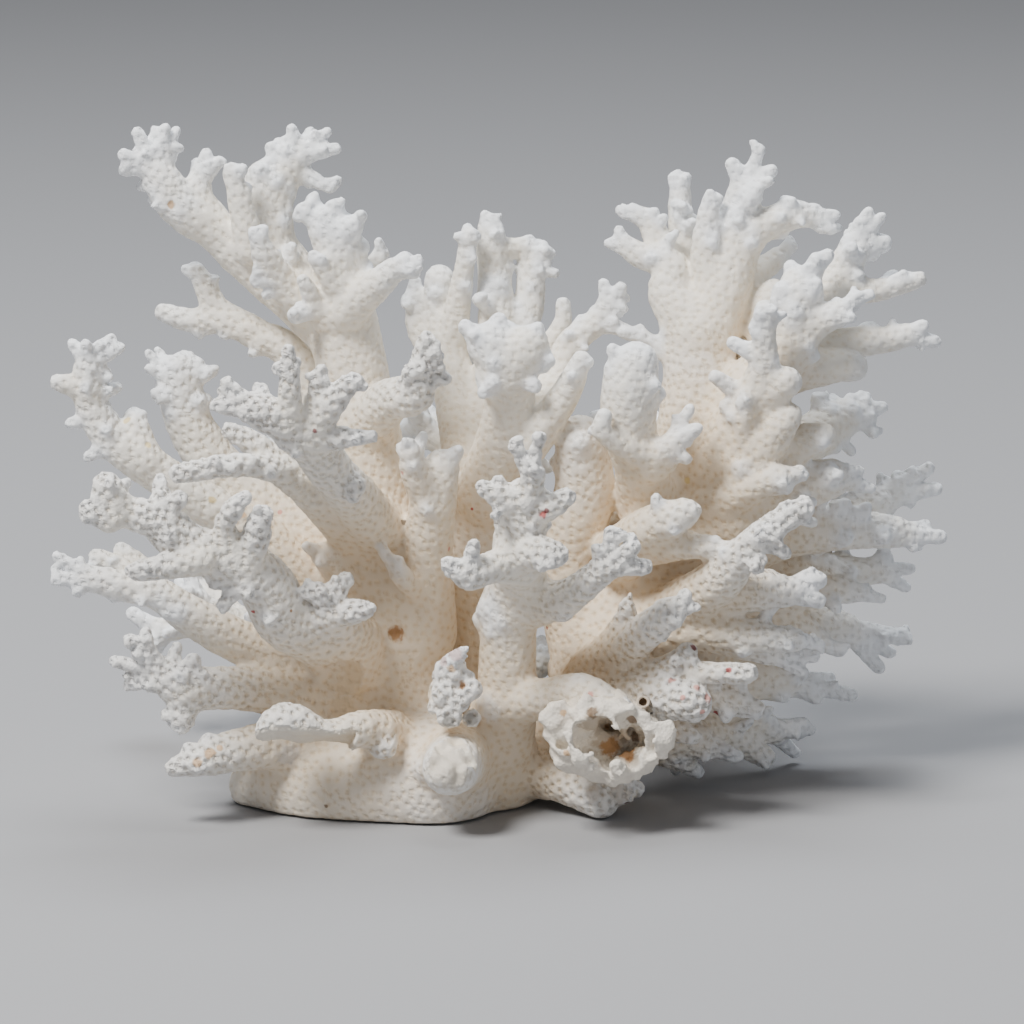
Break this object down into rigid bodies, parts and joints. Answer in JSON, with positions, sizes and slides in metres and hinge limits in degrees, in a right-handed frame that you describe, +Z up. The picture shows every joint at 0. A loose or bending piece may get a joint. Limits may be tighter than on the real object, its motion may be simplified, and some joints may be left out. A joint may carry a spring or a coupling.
{
  "type": "branching coral",
  "caption": "Bone-white branching coral skeleton with short blunt branchlets, cut off flat at its foot, standing about 134 mm high.",
  "frame": {"origin": "middle of the flat cut under the foot", "axes": "+Z up from the flat cut; +X to the right and -Y towards the viewer of the picture"},
  "size_m": [0.1791, 0.1119, 0.1341],
  "materials": {
    "coral_skeleton": "matt, finely pitted"
  },
  "bodies": {
    "root": {"back_crown_left": "coral_skeleton", "back_crown_right": "coral_skeleton", "back_trunk": "coral_skeleton", "barnacle_crust": "coral_skeleton", "broken_crust": "coral_skeleton", "broken_stub": "coral_skeleton", "central_trunk": "coral_skeleton", "crown_palm": "coral_skeleton", "double_finger": "coral_skeleton", "far_foot_limb": "coral_skeleton", "far_left_limb": "coral_skeleton", "far_left_low_limb": "coral_skeleton", "far_low_limb": "coral_skeleton", "far_middle_limb": "coral_skeleton", "far_right_high_limb": "coral_skeleton", "far_right_limb": "coral_skeleton", "far_right_low_limb": "coral_skeleton", "foot": "coral_skeleton", "front_ledge": "coral_skeleton", "front_left_antler": "coral_skeleton", "front_middle_antler": "coral_skeleton", "front_right_antler": "coral_skeleton", "knob_plate": "coral_skeleton", "left_antler": "coral_skeleton", "left_crown": "coral_skeleton", "left_hand": "coral_skeleton", "left_rail": "coral_skeleton", "left_trunk": "coral_skeleton", "left_upper_arm": "coral_skeleton", "low_front_arm": "coral_skeleton", "low_left_antler": "coral_skeleton", "low_right_limb": "coral_skeleton", "middle_fork": "coral_skeleton", "middle_trunk": "coral_skeleton", "pale_left_antler": "coral_skeleton", "right_antler": "coral_skeleton", "right_arm_lower": "coral_skeleton", "right_arm_middle": "coral_skeleton", "right_arm_upper": "coral_skeleton", "right_back_plate": "coral_skeleton", "right_blades": "coral_skeleton", "right_crown_arm": "coral_skeleton", "right_crown_left": "coral_skeleton", "right_crown_top": "coral_skeleton", "right_front_arm": "coral_skeleton", "right_long_arm": "coral_skeleton", "right_low_antler": "coral_skeleton", "right_low_hand": "coral_skeleton", "right_plate": "coral_skeleton", "right_shoulder": "coral_skeleton", "right_trunk": "coral_skeleton", "rough_fan": "coral_skeleton", "rough_left_antler": "coral_skeleton", "rough_left_knobs": "coral_skeleton", "rough_pair": "coral_skeleton", "rough_right_antler": "coral_skeleton", "second_antler": "coral_skeleton", "speckled_arm": "coral_skeleton", "upper_left_antler": "coral_skeleton"}
  },
  "joints": []
}
